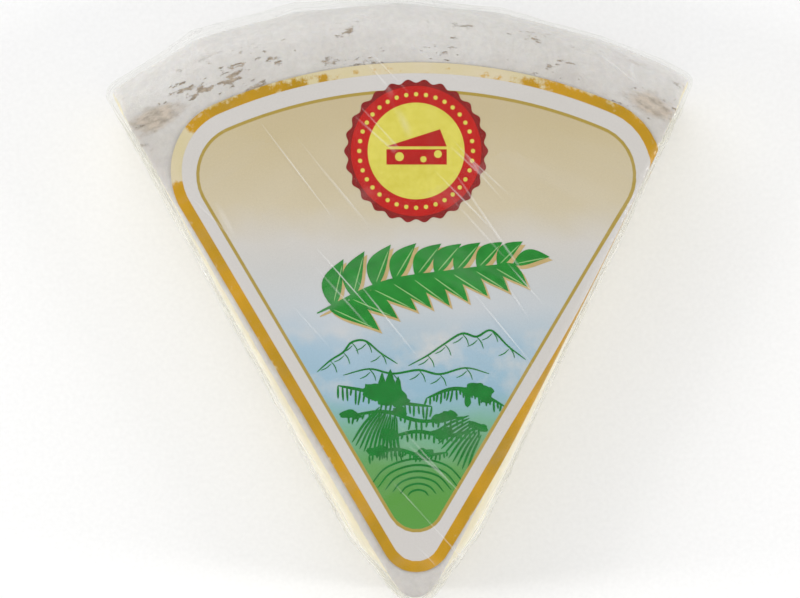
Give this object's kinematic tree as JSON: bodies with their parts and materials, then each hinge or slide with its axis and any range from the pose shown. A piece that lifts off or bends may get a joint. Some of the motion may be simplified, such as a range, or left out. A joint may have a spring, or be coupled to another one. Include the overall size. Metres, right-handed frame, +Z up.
{
  "type": "cheese wedge",
  "caption": "Wedge of soft white-rind cheese cut from a wheel, with a printed paper label on its top face and a clear film wrapped tightly round it.",
  "frame": {"origin": "middle of the bounding box, on the surface that the wedge rests on", "axes": "+Z up through the label, +Y towards the curved rim, -Y towards the point, +X to the right with the label read upright"},
  "size_m": [0.1128, 0.116, 0.0302],
  "materials": {
    "cheese": "white bloomy mould rind with beige-brown patches along the rim, soft ivory paste on the two cut faces",
    "label_paper": null,
    "clear_film": "clear glossy food film, pulled tight with fine creases and pleats"
  },
  "bodies": {
    "root": {"cheese_wedge": "cheese", "paper_label": "label_paper", "film_wrap": "clear_film"}
  },
  "joints": []
}
